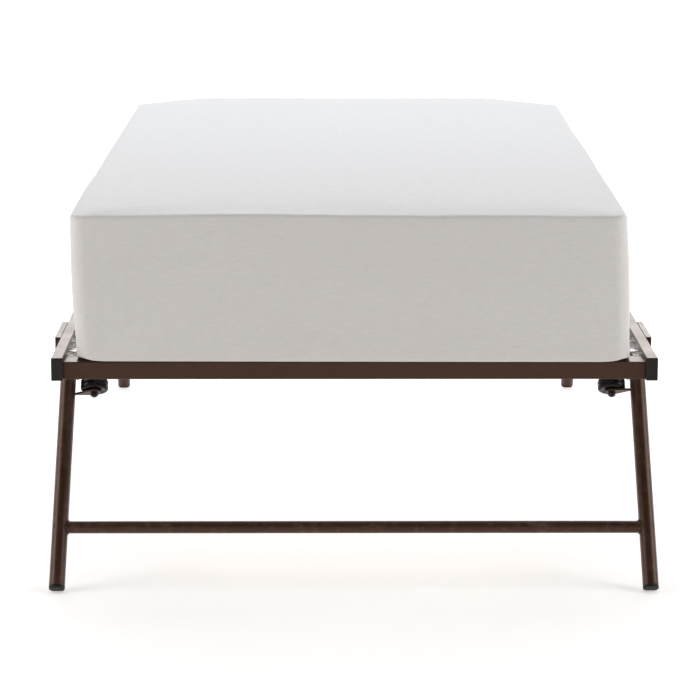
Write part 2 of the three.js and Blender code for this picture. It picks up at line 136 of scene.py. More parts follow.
# Mattress
MATTRESS_WIDTH = 0.965
MATTRESS_LENGTH = 1.900
MATTRESS_TURN = math.radians(-0.45)
MATTRESS_CORNER = 28 * MM
TOP_FILLET = 6 * MM
BOTTOM_FILLET = 2.5 * MM
DECK_CLEARANCE = 0.3 * MM
COVER_EASE = 2 * MM  # how much wider than the foam the cover is cut, on the left and on the right
COVER_DRIFT = 2 * MM  # how far the cover has worked round to the right
COVER_BULGE = 6 * MM  # furthest that the cover may swell
SWELL_FRAMES = 20
TOP_CROWN = 8 * MM  # highest that the top may stand over the foam block
TOP_RISE = (1.5 * MM, 5.5 * MM)  # fullness of the top over the foam, at the foot and head ends
HEAD_CORNER_REACH = 0.16
HEAD_CORNER_SAG = {-1: 12 * MM, 1: 18 * MM}  # left and right
HEAD_CORNER_DRAW = (5 * MM, 16 * MM)  # across and along the bed
UNDER_CORNER_REACH = 0.04
UNDER_CORNER_LIFT = 8 * MM
MATTRESS_LEAN = 9 * MM  # how far the top lies to the left of the underside
EDGE_REACH = 50 * MM
EDGE_START = 0.8  # share of the height where the top edge's waves start
EDGE_WANDER = 3 * MM
EDGE_WANDER_SCALE = 3.1  # waves per metre, roughly
EDGE_RIPPLE = 1.0 * MM
EDGE_RIPPLE_SCALE = 17
PUCKER_REACH = 90 * MM
PUCKER_CLEAR = 27 * MM  # from the corner to where the puckers are deepest
PUCKER_START = 0.75  # share of the height
PUCKER_DEPTH = 0.8 * MM
PUCKER_COUNT = 16  # in a full turn
WALL_REACH = 40 * MM
WALL_BULGE = 3 * MM
WALL_TUCK = 1.5 * MM
WALL_TUCK_TOP = 0.35  # share of the height below which the wall tucks in
WALL_END_SHARE = 0.3  # the end walls bulge by this share of the side walls' bulge
WALL_DIMPLE = 1.2 * MM
WALL_DIMPLE_SCALE = (5, 5, 7)
ACROSS_STEPS = 64
LENGTH_STEPS = 120
CORNER_STEPS = 8
BOTTOM_STEPS = 2
WALL_STEPS = 14
TOP_STEPS = 4

# Studio
STUDIO_RADIUS = 14.0
STUDIO_WALL = 8.0
STUDIO_STEPS = 96
FLOOR_DROP = 0.3 * MM
FLOOR_GLOW = (0.45, 0.5)  # in front of the bed, and behind it
FLOOR_GLOW_SPAN = (0.0, 3.0)  # Y where the glow starts to change, and where it has changed
WALL_GLOW = (0.0, 2.2)
WALL_GLOW_SPAN = (4.0, 12.0)
GLOW_TINT = (1.0, 0.96, 0.93, 1)
WORLD_COLOUR = (1.0, 0.995, 0.985, 1)
WORLD_STRENGTH = 0.08
OVERHEAD_PLACE = (0, 1.6, 3.6)
OVERHEAD_TARGET = (0, 0.8, 0.4)
OVERHEAD_SIZE = (4.0, 4.0)
OVERHEAD_WATTS = 84
OVERHEAD_COLOUR = (0.88, 1.0, 1.14)
PANEL_PLACE = (3.9, -1.3, 2.3)  # the right one
PANEL_TARGET = (0.5, -0.4, 0.4)
PANEL_SIZE = (2.4, 2.6)
PANEL_WATTS = 66

# Camera
CAMERA_PLACE = (-0.0585, -5.9623, 1.4129)
CAMERA_TILT = math.radians(90) - 0.1903
CAMERA_PAN = -0.0100
CAMERA_ROLL = 0.0015
CAMERA_LENS = 150.6
SENSOR_WIDTH = 36


# ---- Node helpers ----

def new_material(name, **sockets):
    """A material with one Principled shader, its uniform values set on the shader's own sockets."""
    material = bpy.data.materials.new(name)
    material.use_nodes = True
    shader = material.node_tree.nodes["Principled BSDF"]
    for socket, value in sockets.items():
        shader.inputs[socket.replace("_", " ")].default_value = value
    return material, material.node_tree, shader


def add_node(tree, kind, **values):
    """A new node, with its inputs and its own settings given by name."""
    node = tree.nodes.new(kind)
    for key, value in values.items():
        if hasattr(node, key):
            setattr(node, key, value)
        else:
            node.inputs[key.replace("_", " ")].default_value = value
    return node


def object_coordinates(tree, scale=(1, 1, 1), rotation=(0, 0, 0)):
    """The object's own coordinates in metres, scaled and turned."""
    source = add_node(tree, "ShaderNodeTexCoord")
    mapping = add_node(tree, "ShaderNodeMapping")
    mapping.inputs["Scale"].default_value = scale
    mapping.inputs["Rotation"].default_value = rotation
    tree.links.new(source.outputs["Object"], mapping.inputs["Vector"])
    return mapping.outputs["Vector"]


def noise_texture(tree, vector, scale, detail=3.0, roughness=0.55):
    texture = add_node(tree, "ShaderNodeTexNoise", Scale=scale, Detail=detail, Roughness=roughness)
    tree.links.new(vector, texture.inputs["Vector"])
    return texture.outputs["Fac"]


def ramp(tree, factor, stops):
    """A colour ramp through (position, colour) stops."""
    node = add_node(tree, "ShaderNodeValToRGB")
    elements = node.color_ramp.elements
    while len(elements) < len(stops):
        elements.new(0.5)
    for element, (position, colour) in zip(elements, stops):
        element.position = position
        element.color = (*colour, 1)
    tree.links.new(factor, node.inputs["Fac"])
    return node.outputs["Color"]


def value_range(tree, factor, low, high, start=0.0, end=1.0):
    """factor carried from start..end to low..high."""
    node = add_node(tree, "ShaderNodeMapRange")
    node.inputs["From Min"].default_value = start
    node.inputs["From Max"].default_value = end
    node.inputs["To Min"].default_value = low
    node.inputs["To Max"].default_value = high
    tree.links.new(factor, node.inputs["Value"])
    return node.outputs["Result"]


def arithmetic(tree, operation, a, b):
    """One Math node on a socket, and on a second socket or a number."""
    node = add_node(tree, "ShaderNodeMath", operation=operation)
    tree.links.new(a, node.inputs[0])
    if isinstance(b, (int, float)):
        node.inputs[1].default_value = b
    else:
        tree.links.new(b, node.inputs[1])
    return node.outputs[0]


def mix_colours(tree, factor, a, b):
    """Colour a where factor is 0, and b where it is 1."""
    node = add_node(tree, "ShaderNodeMix", data_type="RGBA")
    tree.links.new(factor, node.inputs["Factor"])
    colours = [s for s in node.inputs if s.type == "RGBA"]
    for socket, value in zip(colours, (a, b)):
        if isinstance(value, tuple):
            socket.default_value = (*value, 1)
        else:
            tree.links.new(value, socket)
    return [s for s in node.outputs if s.type == "RGBA"][0]


def bump(tree, shader, height, distance, strength=1.0):
    """Relief on the shader: height 1 stands for distance."""
    node = add_node(tree, "ShaderNodeBump", Strength=strength, Distance=distance)
    tree.links.new(height, node.inputs["Height"])
    tree.links.new(node.outputs["Normal"], shader.inputs["Normal"])


def edge_wear(tree, amount):
    """0 on flat metal, up to 1 along its outside edges, broken up by noise."""
    geometry = add_node(tree, "ShaderNodeNewGeometry")
    edge = value_range(tree, geometry.outputs["Pointiness"], 0, 1, 0.53, 0.62)
    patches = noise_texture(tree, object_coordinates(tree), 60, 4)
    broken = value_range(tree, patches, 0, amount, 0.5, 0.7)
    return arithmetic(tree, "MULTIPLY", edge, broken)


# ---- Materials ----

def make_bronze_paint():
    """Dark bronze powder coat: slightly mottled, with a fine orange peel and a few rubbed edges."""
    material, tree, shader = new_material("bronze_paint", Metallic=0.0, IOR=1.5)
    shader.inputs["Specular Tint"].default_value = (1.0, 0.66, 0.52, 1)
    vector = object_coordinates(tree)
    cloud = noise_texture(tree, vector, 14, 4)
    grain = noise_texture(tree, vector, 900, 2)
    mottled = ramp(tree, cloud, [(0.3, (0.030, 0.0137, 0.0088)), (0.7, (0.039, 0.019, 0.0126))])
    flecks = value_range(tree, grain, 0, 0.5, 0.58, 0.75)
    flecked = mix_colours(tree, flecks, mottled, (0.062, 0.034, 0.025))
    worn = mix_colours(tree, edge_wear(tree, 0.5), flecked, (0.13, 0.085, 0.065))
    tree.links.new(worn, shader.inputs["Base Color"])
    tree.links.new(value_range(tree, cloud, 0.29, 0.38, 0.3, 0.7), shader.inputs["Roughness"])
    bump(tree, shader, noise_texture(tree, vector, 620, 2), 0.03 * MM, 0.6)
    return material


def make_zinc_steel():
    """Zinc plate: bright, streaked along the strip, with a faint spangle."""
    material, tree, shader = new_material("zinc_steel", Metallic=1.0)
    streaks = noise_texture(tree, object_coordinates(tree, (14, 220, 220)), 1.0, 4)
    spangle = add_node(tree, "ShaderNodeTexVoronoi", Scale=140.0)
    tree.links.new(object_coordinates(tree), spangle.inputs["Vector"])
    tone = ramp(tree, streaks, [(0.25, (0.27, 0.26, 0.24)), (0.75, (0.58, 0.57, 0.54))])
    dust = value_range(tree, spangle.outputs["Distance"], 0, 0.25)
    dusty = mix_colours(tree, dust, tone, (0.3, 0.28, 0.25))
    tree.links.new(dusty, shader.inputs["Base Color"])
    tree.links.new(value_range(tree, streaks, 0.26, 0.48, 0.2, 0.8), shader.inputs["Roughness"])
    bump(tree, shader, streaks, 0.02 * MM, 0.5)
    return material


def make_dark_steel():
    """Black-oxide fasteners: oily dark grey, brighter where a spanner has rubbed the corners."""
    material, tree, shader = new_material("dark_steel", Metallic=0.85)
    vector = object_coordinates(tree)
    cloud = noise_texture(tree, vector, 260, 4)
    tone = ramp(tree, cloud, [(0.3, (0.022, 0.019, 0.018)), (0.75, (0.06, 0.052, 0.047))])
    rubbed = mix_colours(tree, edge_wear(tree, 0.8), tone, (0.22, 0.2, 0.18))
    tree.links.new(rubbed, shader.inputs["Base Color"])
    tree.links.new(value_range(tree, cloud, 0.28, 0.5), shader.inputs["Roughness"])
    bump(tree, shader, cloud, 0.03 * MM, 0.5)
    return material


def make_black_plastic():
    """Moulded caps and glides: near black with a fine spark-eroded grain."""
    material, tree, shader = new_material("black_plastic", Metallic=0.0, IOR=1.5, Specular_IOR_Level=0.25)
    vector = object_coordinates(tree)
    cloud = noise_texture(tree, vector, 30, 3)
    tone = ramp(tree, cloud, [(0.3, (0.011, 0.0078, 0.0080)), (0.7, (0.017, 0.0125, 0.0130))])
    tree.links.new(tone, shader.inputs["Base Color"])
    grain = noise_texture(tree, vector, 1500, 2, 0.6)
    tree.links.new(value_range(tree, grain, 0.42, 0.58), shader.inputs["Roughness"])
    bump(tree, shader, grain, 0.05 * MM, 0.7)
    return material


def make_wheel_plastic():
    """Glossy wheels, lightly scuffed on the tread."""
    material, tree, shader = new_material("wheel_plastic", Metallic=0.0, IOR=1.5, Specular_IOR_Level=0.14)
    vector = object_coordinates(tree)
    scuffs = noise_texture(tree, vector, 700, 4, 0.6)
    tone = ramp(tree, scuffs, [(0.5, (0.0042, 0.0034, 0.0038)), (0.8, (0.008, 0.007, 0.007))])
    tree.links.new(tone, shader.inputs["Base Color"])
    tree.links.new(value_range(tree, scuffs, 0.13, 0.24, 0.4, 0.8), shader.inputs["Roughness"])
    bump(tree, shader, scuffs, 0.01 * MM, 0.3)
    return material


def make_cover_fabric():
    """White heathered knit: fine ribs and courses under short horizontal flecks."""
    material, tree, shader = new_material("cover_fabric", Metallic=0.0, Roughness=0.92)
    shader.inputs["Specular IOR Level"].default_value = 0.25
    shader.inputs["Sheen Weight"].default_value = 0.22
    shader.inputs["Sheen Roughness"].default_value = 0.45
    flecks = noise_texture(tree, object_coordinates(tree, (70, 70, 330)), 1.0, 4, 0.7)
    threads = noise_texture(tree, object_coordinates(tree, (260, 260, 1400)), 1.0, 3, 0.6)
    cloud = noise_texture(tree, object_coordinates(tree), 3.5, 3)
    heather = ramp(tree, flecks, [(0.32, (0.703, 0.678, 0.655)), (0.62, (0.748, 0.724, 0.704))])
    between = value_range(tree, threads, 0, 0.5, 0.5, 0.8)
    threaded = mix_colours(tree, between, heather, (0.630, 0.603, 0.578))
    patches = value_range(tree, cloud, 0, 0.35, 0.45, 0.75)
    clouded = mix_colours(tree, patches, threaded, (0.722, 0.695, 0.670))
    tree.links.new(clouded, shader.inputs["Base Color"])
    quarter = (0, 0, math.radians(45))
    ribs = add_node(tree, "ShaderNodeTexWave", Scale=150.0, Distortion=1.5, Detail=1.0)
    tree.links.new(object_coordinates(tree, rotation=quarter), ribs.inputs["Vector"])
    courses = add_node(tree, "ShaderNodeTexWave", Scale=190.0, Distortion=1.2, bands_direction="Y")
    tilt = (math.radians(45), 0, 0)
    tree.links.new(object_coordinates(tree, rotation=tilt), courses.inputs["Vector"])
    knit = arithmetic(tree, "MULTIPLY", ribs.outputs["Fac"], courses.outputs["Fac"])
    relief = arithmetic(tree, "ADD", knit, flecks)
    bump(tree, shader, relief, 0.22 * MM, 0.55)
    return material


materials = {
    "bronze_paint": make_bronze_paint(),
    "zinc_steel": make_zinc_steel(),
    "dark_steel": make_dark_steel(),
    "black_plastic": make_black_plastic(),
    "wheel_plastic": make_wheel_plastic(),
    "cover_fabric": make_cover_fabric(),
}
slot_of_node = {part["node"]: part["material_slot"] for part in frame["record"]["subparts"]}
body_of_node = {n: b for b, ns in frame["record"]["behaviour"]["bodies"].items() for n in ns}


# ---- Mesh helpers ----

def shade(mesh):
    """Smooth shading, with the sharp edges left sharp."""
    mesh.shade_smooth()
    mesh.set_sharp_from_angle(angle=SMOOTH_ANGLE)


def place(name, mesh, body, slot, *nodes):
    """A finished piece: linked, shaded, riding on its body and standing for its CAD nodes."""
    piece = bpy.data.objects.new(name, mesh)
    bpy.context.scene.collection.objects.link(piece)
    if isinstance(mesh, bpy.types.Mesh):
        shade(mesh)
    mesh.materials.clear()
    mesh.materials.append(materials[slot])
    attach(piece, body)
    if nodes:
        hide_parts(*nodes)
    return piece


def mesh_from(name, vertices, faces):
    """A mesh whose faces all look outwards."""
    mesh = bpy.data.meshes.new(name)
    mesh.from_pydata([tuple(v) for v in vertices], [], faces)
    shape = bmesh.new()
    shape.from_mesh(mesh)
    bmesh.ops.recalc_face_normals(shape, faces=shape.faces)
    shape.to_mesh(mesh)
    shape.free()
    return mesh


def softened(node, radius, along=None, edge=0.15):
    """A copy of a CAD node with its edges rounded. With along, only edges in that direction get the full
    radius, and the others get the share edge of it."""
    shape = bmesh.new()
    shape.from_mesh(frame["nodes"][node].data)
    bmesh.ops.remove_doubles(shape, verts=shape.verts, dist=MERGE_DISTANCE)
    bmesh.ops.dissolve_limit(shape, angle_limit=FLAT_ANGLE, verts=shape.verts, edges=shape.edges)
    weight = shape.edges.layers.float.new("bevel_weight_edge")
    for e in shape.edges:
        sharp = len(e.link_faces) == 2 and e.calc_face_angle(0) > BEVEL_ANGLE
        direction = (e.verts[1].co - e.verts[0].co).normalized()
        full = along is None or abs(direction.dot(Vector(along))) > 0.999
        e[weight] = (1.0 if full else edge) if sharp else 0.0
    mesh = bpy.data.meshes.new(node + "_soft")
    shape.to_mesh(mesh)
    shape.free()
    piece = place(node + "_finish", mesh, body_of_node[node], slot_of_node[node], node)
    bevel = piece.modifiers.new("Edges", "BEVEL")
    bevel.limit_method = "WEIGHT"
    bevel.width = radius
    bevel.segments = 3
    bevel.harden_normals = True
    return piece


def revolve(name, profile, origin, axis, sides=TUBE_SIDES, closed=False):
    """A mesh turned about axis through origin, from a profile of (radius, distance along the axis).

    An open profile starts and ends on the axis; a closed one is a ring."""
    axis = Vector(axis).normalized()
    across = axis.orthogonal().normalized()
    up = axis.cross(across)
    vertices, faces, rings = [], [], []
    for radius, height in profile:
        centre = Vector(origin) + axis * height
        if radius < 1e-9:
            rings.append([len(vertices)])
            vertices.append(centre)
            continue
        rings.append(list(range(len(vertices), len(vertices) + sides)))
        for k in range(sides):
            angle = 2 * math.pi * k / sides
            vertices.append(centre + (across * math.cos(angle) + up * math.sin(angle)) * radius)
    pairs = list(zip(rings, rings[1:]))
    if closed:
        pairs.append((rings[-1], rings[0]))
    for a, b in pairs:
        for k in range(sides):
            face = [a[k % len(a)], a[(k + 1) % len(a)], b[(k + 1) % len(b)], b[k % len(b)]]
            faces.append(list(dict.fromkeys(face)))
    return mesh_from(name, vertices, faces)


def tube_profile(radius, wall, length):
    """A closed profile of a pipe whose ends are lightly rounded outside."""
    return [
        (radius - wall, 0),
        (radius - TUBE_EDGE, 0),
        (radius, TUBE_EDGE),
        (radius, length - TUBE_EDGE),
        (radius - TUBE_EDGE, length),
        (radius - wall, length),
    ]


def span_along(node, axis, origin=Vector()):
    """The least and greatest distance of a node's vertices along an axis from origin."""
    reach = [(v.co - origin).dot(axis) for v in frame["nodes"][node].data.vertices]
    return min(reach), max(reach)


def ring_centre(node, axis, top):
    """The middle of a node's end ring, at its upper or lower end along axis."""
    low, high = span_along(node, axis)
    level = high if top else low
    points = [v.co for v in frame["nodes"][node].data.vertices]
    ring = [point for point in points if abs(point.dot(axis) - level) < RING_DEPTH]
    return Vector([(min(c[i] for c in ring) + max(c[i] for c in ring)) / 2 for i in range(3)])


def radius_about(node, origin, axis):
    """The greatest distance of a node's vertices from a line."""
    return max(((v.co - origin) - axis * (v.co - origin).dot(axis)).length
               for v in frame["nodes"][node].data.vertices)


def carve(piece, cutter_mesh):
    """Cuts a mesh out of a piece, and shades the piece again."""
    cutter = bpy.data.objects.new("cutter", cutter_mesh)
    bpy.context.scene.collection.objects.link(cutter)
    boolean = piece.modifiers.new("Cut", "BOOLEAN")
    boolean.object = cutter
    boolean.solver = "EXACT"
    bpy.context.view_layer.update()
    graph = bpy.context.evaluated_depsgraph_get()
    result = bpy.data.meshes.new_from_object(piece.evaluated_get(graph))
    piece.modifiers.remove(boolean)
    piece.data = result
    bpy.data.objects.remove(cutter)
    shade(piece.data)


def wires(name, paths, radius, slot, body, cyclic=False, sides=3):
    """Round wire along each path, as one curve piece."""
    curve = bpy.data.curves.new(name, "CURVE")
    curve.dimensions = "3D"
    curve.bevel_depth = radius
    curve.bevel_resolution = sides
    curve.use_fill_caps = True
    for path in paths:
        spline = curve.splines.new("POLY")
        spline.points.add(len(path) - 1)
        spline.use_cyclic_u = cyclic
        for point, place_at in zip(spline.points, path):
            point.co = (*place_at, 1)
    return place(name, curve, body, slot)


def bead(name, path, body):
    """A weld bead: a rippled rope of metal along a closed path."""
    curve = bpy.data.curves.new(name, "CURVE")
    curve.dimensions = "3D"
    curve.bevel_depth = BEAD_RADIUS
    curve.bevel_resolution = 2
    spline = curve.splines.new("POLY")
    spline.points.add(len(path) - 1)
    spline.use_cyclic_u = True
    for k, (point, place_at) in enumerate(zip(spline.points, path)):
        point.co = (*place_at, 1)
        turn = 2 * math.pi * k / len(path)
        ripple = BEAD_RIPPLE * math.sin(BEAD_RIPPLES_PER_TURN * turn)
        point.radius = 1 + ripple + BEAD_WANDER * math.sin(BEAD_WANDERS_PER_TURN * turn)
    return place(name, curve, body, "bronze_paint")


# ---- Deck frame ----

joint_of = {j["name"]: j for j in frame["joints"]}
rail_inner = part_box("side_rail_right")[0].x
deck_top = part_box("deck_strap_1")[1].z
end_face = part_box("rail_cap_foot_left")[0].y

for side in SIDES:
    softened(f"side_rail_{side}", RAIL_CORNER, along=(0, 1, 0))
for end in ENDS:
    softened(f"end_rail_{end}", RAIL_CORNER, along=(1, 0, 0))
for number in (1, 2):
    softened(f"cross_tube_{number}", RAIL_CORNER, along=(1, 0, 0))
for node in frame["nodes"]:
    if node.startswith("rail_cap_"):
        softened(node, RAIL_CORNER, along=(0, 1, 0), edge=CAP_EDGE_SHARE)
    if node.startswith(("corner_gusset_", "leg_bracket_", "wheel_arm_", "deck_strap_", "wheel_nut_")):
        softened(node, SHEET_EDGE)


def hook_profile(side):
    """One hook seen along the rail: a flat shank from the rail, then a curl round the edge wire."""
    wire_x = rail_inner - EDGE_WIRE_INSET
    wire_z = deck_top - STRAP_THICKNESS - EDGE_WIRE_RADIUS - WIRE_GAP
    curl = EDGE_WIRE_RADIUS + HOOK_THICKNESS
    inward, down = HOOK_SHOULDER
    points = [(rail_inner - FIT_GAP, deck_top - HOOK_ROOT), (rail_inner - inward, deck_top - down)]
    for step in range(HOOK_STEPS + 1):
        angle = math.radians(90 + HOOK_CURL * step / HOOK_STEPS)
        points.append((wire_x + curl * math.cos(angle), wire_z + curl * math.sin(angle)))
    return [(side * x, z) for x, z in points]


def side_hooks(side_name, side):
    """Flat hooks from the side rail round the edge wire, one every HOOK_PITCH."""
    profile = hook_profile(side)
    count = int((-2 * end_face - 2 * FIRST_HOOK) / HOOK_PITCH) + 1
    vertices, faces = [], []
    for number in range(count):
        y = end_face + FIRST_HOOK + number * HOOK_PITCH
        start = len(vertices)
        for x, z in profile:
            for half in (-HOOK_WIDTH / 2, HOOK_WIDTH / 2):
                vertices.append((x, y + half, z))
        for k in range(len(profile) - 1):
            a = start + 2 * k
            faces.append((a, a + 1, a + 3, a + 2))
    mesh = mesh_from("hooks", vertices, faces)
    hooks = place(f"side_hooks_{side_name}", mesh, "deck_frame", "zinc_steel")
    gauge = hooks.modifiers.new("Gauge", "SOLIDIFY")
    gauge.thickness = HOOK_THICKNESS
    gauge.offset = 0


def edge_wires():
    """The long wire inside each side rail that the hooks hold."""
    reach = -end_face - FIRST_HOOK + HOOK_WIDTH
    paths = []
    for side in SIDES.values():
        x = side * (rail_inner - EDGE_WIRE_INSET)
        z = deck_top - STRAP_THICKNESS - EDGE_WIRE_RADIUS - WIRE_GAP
        paths.append([(x, -reach, z), (x, reach, z)])
    wires("edge_wires", paths, EDGE_WIRE_RADIUS, "zinc_steel", "deck_frame")


def cross_wires():
    """Wires along the bed under the straps, with a crimped loop over each strap."""
    straps = [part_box(f"deck_strap_{k}") for k in range(1, STRAP_COUNT + 1)]
    middles = [(low.y + high.y) / 2 for low, high in straps]
    width = straps[0][1].y - straps[0][0].y
    z = deck_top - STRAP_THICKNESS - CROSS_WIRE_RADIUS - WIRE_GAP
    runs, loops = [], []
    for column in range(CROSS_WIRE_COUNT):
        x = (column - (CROSS_WIRE_COUNT - 1) / 2) * CROSS_WIRE_PITCH
        runs.append([(x, middles[0] - width, z), (x, middles[-1] + width, z)])
        for y in middles:
            low_z = z - CROSS_WIRE_RADIUS - LOOP_RADIUS
            high_z = deck_top + LOOP_PROUD - LOOP_RADIUS
            near, far = y - width / 2 - LOOP_RADIUS, y + width / 2 + LOOP_RADIUS
            loops.append(rounded_loop(x, near, far, low_z, high_z))
    wires("cross_wires", runs, CROSS_WIRE_RADIUS, "zinc_steel", "deck_frame")
    wires("strap_loops", loops, LOOP_RADIUS, "zinc_steel", "deck_frame", cyclic=True, sides=2)


def rounded_loop(x, near, far, low, high):
    """A wire loop in the YZ plane, with rounded corners."""
    corner = LOOP_CORNER
    corners = [
        (near + corner, high - corner, 90),
        (near + corner, low + corner, 180),
        (far - corner, low + corner, 270),
        (far - corner, high - corner, 0),
    ]
    path = []
    for y, z, start in corners:
        for step in range(4):
            angle = math.radians(start + 30 * step)
            path.append((x, y + corner * math.cos(angle), z + corner * math.sin(angle)))
    return path


def end_springs(end, direction):
    """Coil springs that stretch the deck to an end rail, each hooked at both ends."""
    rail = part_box(f"end_rail_{end}")
    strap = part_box("deck_strap_1" if direction < 0 else f"deck_strap_{STRAP_COUNT}")
    rail_y = rail[1].y if direction < 0 else rail[0].y
    strap_y = strap[0].y if direction < 0 else strap[1].y
    z = deck_top - SPRING_RADIUS - 2 * SPRING_WIRE_RADIUS
    grip_z = deck_top - STRAP_THICKNESS - 2 * SPRING_WIRE_RADIUS
    middle = (rail_y + strap_y) / 2
    paths = []
    for column in range(CROSS_WIRE_COUNT):
        x = (column - (CROSS_WIRE_COUNT - 1) / 2) * CROSS_WIRE_PITCH + SPRING_OFFSET
        path = [(x, rail_y - direction * WIRE_GAP, z), (x, middle + direction * SPRING_BODY / 2, z)]
        steps = SPRING_TURNS * SPRING_TURN_STEPS
        for step in range(steps + 1):
            angle = 2 * math.pi * step / SPRING_TURN_STEPS
            y = middle + direction * SPRING_BODY * (0.5 - step / steps)
            path.append((x + SPRING_RADIUS * math.sin(angle), y, z + SPRING_RADIUS * math.cos(angle)))
        path.append((x, middle - direction * SPRING_BODY / 2, z))
        path.append((x, strap_y - direction * STRAP_GRIP, grip_z))
        paths.append(path)
    wires(f"end_springs_{end}", paths, SPRING_WIRE_RADIUS, "zinc_steel", "deck_frame", sides=2)


for side_name, side in SIDES.items():
    side_hooks(side_name, side)
edge_wires()
cross_wires()
for end, direction in ENDS.items():
    end_springs(end, direction)


# ---- Leg frames ----

def leg_line(end, side_name):
    """A leg tube's lower end, direction, length and radius."""
    tube = f"leg_tube_{end}_{side_name}"
    axle = Vector(joint_of[f"{end}_{side_name}_wheel_spin"]["axis"]).normalized()
    foot = ring_centre(tube, axle, top=False)
    head = ring_centre(tube, axle, top=True)
    line = (head - foot).normalized()
    return foot, line, (head - foot).length, radius_about(tube, foot, line)


def leg_tube(end, side_name):
    """A round tube with its rivet hole drilled across the bed."""
    node = f"leg_tube_{end}_{side_name}"
    foot, line, length, radius = leg_line(end, side_name)
    mesh = revolve(node, tube_profile(radius, TUBE_WALL, length), foot, line, closed=True)
    leg = place(f"{node}_finish", mesh, f"{end}_leg_frame", "bronze_paint", node)
    pivot = Vector(joint_of[f"{end}_leg_fold"]["pos_m"])
    x = foot.x + line.x * (pivot.z - foot.z) / line.z
    drill = [(0, -DRILL_REACH), (RIVET_HOLE, -DRILL_REACH), (RIVET_HOLE, DRILL_REACH), (0, DRILL_REACH)]
    carve(leg, revolve("hole", drill, (x, pivot.y, pivot.z), (1, 0, 0), sides=DRILL_SIDES))


def foot_glide(end, side_name):
    """A plug in the leg's lower end, worn flat on the floor."""
    node = f"foot_glide_{end}_{side_name}"
    foot, line, _, radius = leg_line(end, side_name)
    low, high = span_along(node, line, foot)
    plug = radius - TUBE_WALL - FIT_GAP
    profile = [
        (0, low),
        (radius - GLIDE_ROUND, low),
        (radius - GLIDE_ROUND * GLIDE_BLUNT, low + GLIDE_ROUND * GLIDE_BLUNT),
        (radius, low + GLIDE_ROUND),
        (radius, -FIT_GAP - TUBE_EDGE),
        (radius - TUBE_EDGE, -FIT_GAP),
        (plug, -FIT_GAP),
        (plug, high),
        (0, high),
    ]
    mesh = revolve(node, profile, foot, line)
    glide = place(f"{node}_finish", mesh, f"{end}_leg_frame", "black_plastic", node)
    floor_box = bpy.data.meshes.new("floor_box")
    shape = bmesh.new()
    under_foot = Matrix.Translation((foot.x, foot.y, -FLOOR_BOX / 2))
    bmesh.ops.create_cube(shape, size=FLOOR_BOX, matrix=under_foot)
    shape.to_mesh(floor_box)
    shape.free()
    carve(glide, floor_box)


def wheel(end, side_name):
    """A moulded wheel: a bore, a hub boss, a raised ring, a rounded shoulder and a parting groove."""
    node = f"wheel_{end}_{side_name}"
    spin = joint_of[f"{end}_{side_name}_wheel_spin"]
    axle = Vector(spin["axis"]).normalized()
    hub = Vector(spin["pos_m"])
    tread = radius_about(node, hub, axle)
    face = span_along(node, axle, hub)[1]
    rim = face - WHEEL_BOSS
    half = [
        (AXLE_HOLE, face),
        (WHEEL_HUB - WHEEL_HUB_EDGE, face),
        (WHEEL_HUB, face - WHEEL_HUB_EDGE),
        (WHEEL_HUB, rim),
    ]
    half += [(tread - inward * MM, rim - down * MM) for inward, down in WHEEL_SHOULDER]
    groove = [
        (tread, PARTING_HALF_WIDTH),
        (tread - PARTING_DEPTH, 0),
        (tread, -PARTING_HALF_WIDTH),
    ]
    profile = half + groove + [(radius, -height) for radius, height in reversed(half)]
    mesh = revolve(node, profile, hub, axle, sides=WHEEL_SIDES, closed=True)
    place(f"{node}_finish", mesh, f"{end}_{side_name}_wheel", "wheel_plastic", node)


def pivot_rivet(end, side_name):
    """A rivet with a domed head at each end."""
    node = f"pivot_rivet_{end}_{side_name}"
    low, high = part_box(node)
    head_radius = (high.z - low.z) / 2
    half_length = (high.x - low.x) / 2
    half = [(0, half_length)]
    for step in range(1, DOME_STEPS + 1):
        angle = math.radians(90 - 90 * step / DOME_STEPS)
        half.append((head_radius * math.cos(angle), half_length - RIVET_HEAD * (1 - math.sin(angle))))
    half.append((RIVET_SHANK, half_length - RIVET_HEAD))
    profile = half + [(radius, -height) for radius, height in reversed(half)]
    mesh = revolve(node, profile, (low + high) / 2, (1, 0, 0), sides=RIVET_SIDES)
    place(f"{node}_finish", mesh, "deck_frame", "dark_steel", node)


def saddle_path(centre, radius, side, foot, line, leg_radius):
    """The closed line where the crossbar meets a leg, a little proud of both."""
    across = (Vector((1, 0, 0)) - line * line.x).normalized()
    path = []
    for k in range(BEAD_STEPS):
        angle = 2 * math.pi * k / BEAD_STEPS
        start = centre + Vector((0, math.cos(angle), math.sin(angle))) * (radius + BEAD_SEAT)
        offset = start - foot
        offset -= line * offset.dot(line)
        sideways = offset.dot(across)
        level_with = (offset - across * sideways).length_squared
        beside = math.sqrt(max(0, (leg_radius + BEAD_SEAT) ** 2 - level_with))
        path.append(start - Vector((1, 0, 0)) * (sideways + side * beside))
    return path


